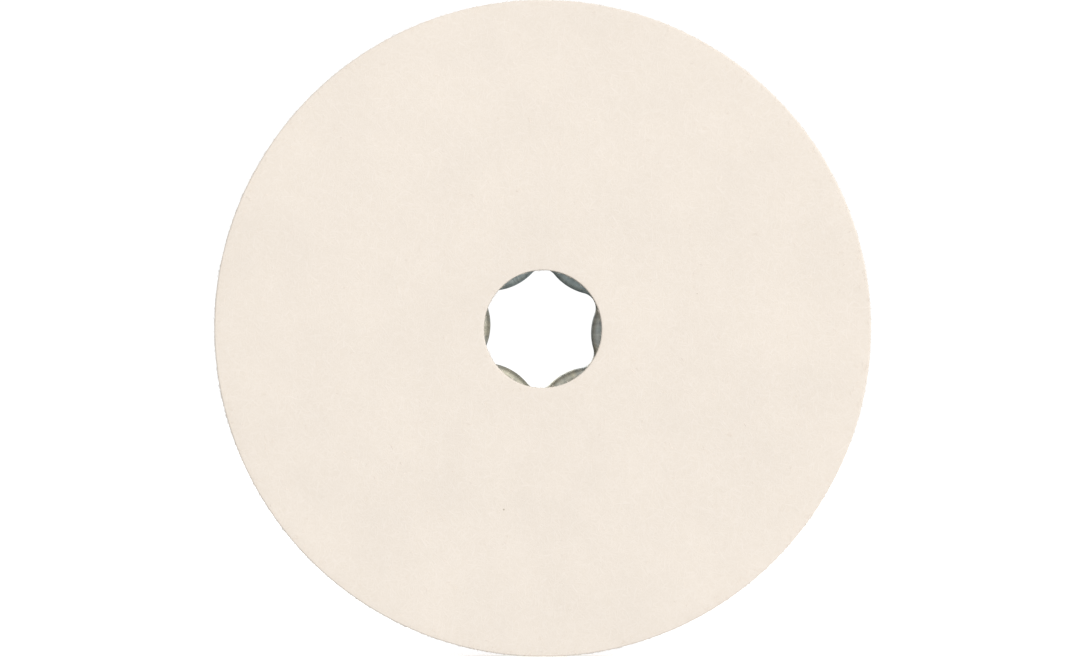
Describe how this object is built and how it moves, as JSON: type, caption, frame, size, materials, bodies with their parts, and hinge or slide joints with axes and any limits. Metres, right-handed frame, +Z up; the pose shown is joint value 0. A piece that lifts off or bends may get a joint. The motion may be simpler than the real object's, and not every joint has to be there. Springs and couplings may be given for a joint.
{
  "type": "felt polishing wheel",
  "caption": "Round pressed-felt polishing disc on a thin fibre backing, with a six-lobed pressed-steel quick-change hub that locks on an angle grinder.",
  "frame": {"origin": "on the spin axis of the six-lobed hub, halfway through the thickness", "axes": "+Y along the spin axis, from the felt's working face to the side that faces the tool; +Z up"},
  "size_m": [0.125, 0.011, 0.125],
  "materials": {
    "felt": "matte",
    "adhesive": "satin",
    "fibre": "satin",
    "plated_steel": "satin"
  },
  "bodies": {
    "root": {"felt_disc": "felt", "bond_layer": "adhesive", "fibre_backing": "fibre", "hub_ring": "plated_steel", "clamp_ring": "plated_steel"}
  },
  "joints": []
}
